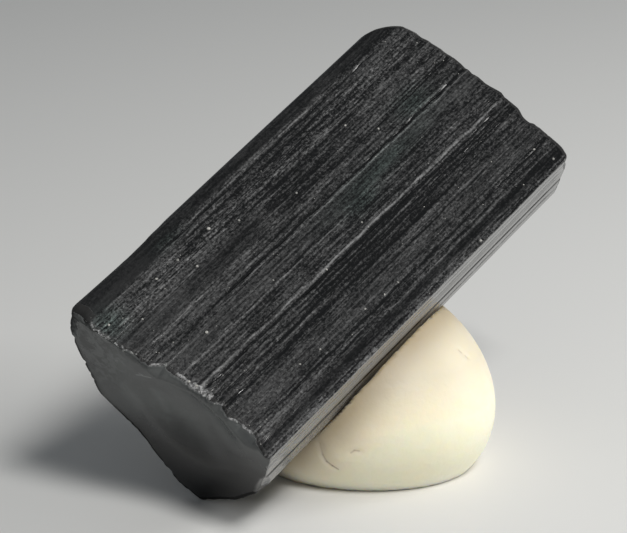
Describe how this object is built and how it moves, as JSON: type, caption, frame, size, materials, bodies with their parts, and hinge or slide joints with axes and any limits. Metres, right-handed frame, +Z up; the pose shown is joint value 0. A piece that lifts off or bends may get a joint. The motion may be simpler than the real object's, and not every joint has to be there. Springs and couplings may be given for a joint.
{
  "type": "tourmaline crystal on display putty",
  "caption": "Opaque black tourmaline prism, striated along its length and broken at both ends, leaning in a lump of cream display putty.",
  "frame": {"origin": "centre of the footprint of the crystal and the putty together, on the surface that they stand on", "axes": "+Z up; +X along the crystal's length as seen from above, towards its raised end; the broad face looks up and towards -Y"},
  "size_m": [0.0492, 0.0238, 0.0359],
  "materials": {
    "black_tourmaline": "opaque black, striated and finely pitted along its length, semi-gloss, with smooth satin breaks at its ends",
    "cream_putty": "soft waxy cream putty, smoothed by hand"
  },
  "bodies": {
    "root": {"crystal": "black_tourmaline", "putty_rest": "cream_putty"}
  },
  "joints": []
}
